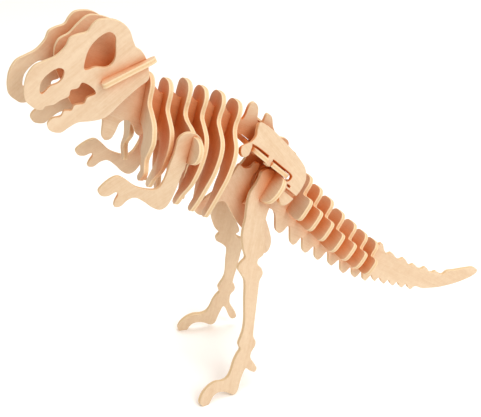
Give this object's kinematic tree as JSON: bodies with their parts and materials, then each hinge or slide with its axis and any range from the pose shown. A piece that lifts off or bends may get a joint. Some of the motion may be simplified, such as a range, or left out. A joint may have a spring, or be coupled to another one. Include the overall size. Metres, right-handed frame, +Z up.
{
  "type": "wooden dinosaur skeleton puzzle",
  "caption": "Flat-pack dinosaur skeleton of thin plywood plates that slide together in half-lap slots and stand on two feet.",
  "frame": {"origin": "middle of the footprint of the bounding box, on the ground that the feet stand on", "axes": "+X from head to tail, +Y towards the animal's right side, +Z up"},
  "size_m": [0.318, 0.0894, 0.2409],
  "materials": {
    "plywood": "sanded, unfinished, with paler cut edges"
  },
  "bodies": {
    "spine": {"backbone": "plywood", "tail_plate": "plywood", "hip_shelf": "plywood", "hip_plate": "plywood", "pelvis_keel": "plywood"},
    "rib_1": {"rib_1": "plywood"},
    "rib_2": {"rib_2": "plywood"},
    "shoulder_plate": {"shoulder_plate": "plywood"},
    "rib_4": {"rib_4": "plywood"},
    "rib_5": {"rib_5": "plywood"},
    "rib_6": {"rib_6": "plywood"},
    "tail_vertebra_1": {"tail_vertebra_1": "plywood"},
    "tail_vertebra_2": {"tail_vertebra_2": "plywood"},
    "tail_vertebra_3": {"tail_vertebra_3": "plywood"},
    "tail_vertebra_4": {"tail_vertebra_4": "plywood"},
    "tail_vertebra_5": {"tail_vertebra_5": "plywood"},
    "tail_vertebra_6": {"tail_vertebra_6": "plywood"},
    "tail_vertebra_7": {"tail_vertebra_7": "plywood"},
    "skull_bar": {"skull_bar": "plywood"},
    "skull_left": {"skull_left": "plywood"},
    "skull_right": {"skull_right": "plywood"},
    "arm_left": {"arm_left": "plywood"},
    "arm_right": {"arm_right": "plywood"},
    "leg_left": {"leg_left": "plywood"},
    "leg_right": {"leg_right": "plywood"},
    "ilium_left": {"ilium_left": "plywood"},
    "ilium_right": {"ilium_right": "plywood"}
  },
  "joints": [
    {"name": "rib_1_lift", "type": "slide", "parent": "spine", "child": "rib_1", "axis": [0.225, 0, 0.9744], "range_m": [0, 0.012]},
    {"name": "rib_2_lift", "type": "slide", "parent": "spine", "child": "rib_2", "axis": [0.2504, 0, 0.9681], "range_m": [0, 0.012]},
    {"name": "shoulder_plate_lift", "type": "slide", "parent": "spine", "child": "shoulder_plate", "axis": [0.2756, 0, 0.9613], "range_m": [0, 0.012]},
    {"name": "rib_4_lift", "type": "slide", "parent": "spine", "child": "rib_4", "axis": [0.3007, 0, 0.9537], "range_m": [0, 0.012]},
    {"name": "rib_5_lift", "type": "slide", "parent": "spine", "child": "rib_5", "axis": [0.3256, 0, 0.9455], "range_m": [0, 0.012]},
    {"name": "rib_6_lift", "type": "slide", "parent": "spine", "child": "rib_6", "axis": [0.342, 0, 0.9397], "range_m": [0, 0.012]},
    {"name": "tail_vertebra_1_lift", "type": "slide", "parent": "spine", "child": "tail_vertebra_1", "axis": [0.5592, 0, 0.829], "range_m": [0, 0.015]},
    {"name": "tail_vertebra_2_lift", "type": "slide", "parent": "spine", "child": "tail_vertebra_2", "axis": [0.5664, 0, 0.8241], "range_m": [0, 0.015]},
    {"name": "tail_vertebra_3_lift", "type": "slide", "parent": "spine", "child": "tail_vertebra_3", "axis": [0.5736, 0, 0.8192], "range_m": [0, 0.015]},
    {"name": "tail_vertebra_4_lift", "type": "slide", "parent": "spine", "child": "tail_vertebra_4", "axis": [0.5807, 0, 0.8141], "range_m": [0, 0.015]},
    {"name": "tail_vertebra_5_lift", "type": "slide", "parent": "spine", "child": "tail_vertebra_5", "axis": [0.5878, 0, 0.809], "range_m": [0, 0.015]},
    {"name": "tail_vertebra_6_lift", "type": "slide", "parent": "spine", "child": "tail_vertebra_6", "axis": [0.5948, 0, 0.8039], "range_m": [0, 0.015]},
    {"name": "tail_vertebra_7_lift", "type": "slide", "parent": "spine", "child": "tail_vertebra_7", "axis": [0.6018, 0, 0.7986], "range_m": [0, 0.015]},
    {"name": "skull_bar_pull", "type": "slide", "parent": "spine", "child": "skull_bar", "axis": [0.9367, 0, 0.3502], "range_m": [0, 0.015]},
    {"name": "skull_left_pull", "type": "slide", "parent": "skull_bar", "child": "skull_left", "axis": [-0.9335, 0.0817, -0.349], "range_m": [0, 0.015]},
    {"name": "skull_right_pull", "type": "slide", "parent": "skull_bar", "child": "skull_right", "axis": [-0.9335, -0.0817, -0.349], "range_m": [0, 0.015]},
    {"name": "arm_left_lift", "type": "slide", "parent": "shoulder_plate", "child": "arm_left", "axis": [0.2756, 0.024, 0.961], "range_m": [0, 0.02]},
    {"name": "arm_right_lift", "type": "slide", "parent": "shoulder_plate", "child": "arm_right", "axis": [0.2756, -0.024, 0.961], "range_m": [0, 0.02]},
    {"name": "leg_left_drop", "type": "slide", "parent": "spine", "child": "leg_left", "axis": [-0.6688, -0.2441, -0.7023], "range_m": [0, 0.02]},
    {"name": "leg_right_drop", "type": "slide", "parent": "spine", "child": "leg_right", "axis": [-0.6688, 0.2441, -0.7023], "range_m": [0, 0.02]},
    {"name": "ilium_left_pull", "type": "slide", "parent": "spine", "child": "ilium_left", "axis": [0, -1, 0], "range_m": [0, 0.012]},
    {"name": "ilium_right_pull", "type": "slide", "parent": "spine", "child": "ilium_right", "axis": [0, 1, 0], "range_m": [0, 0.012]}
  ]
}
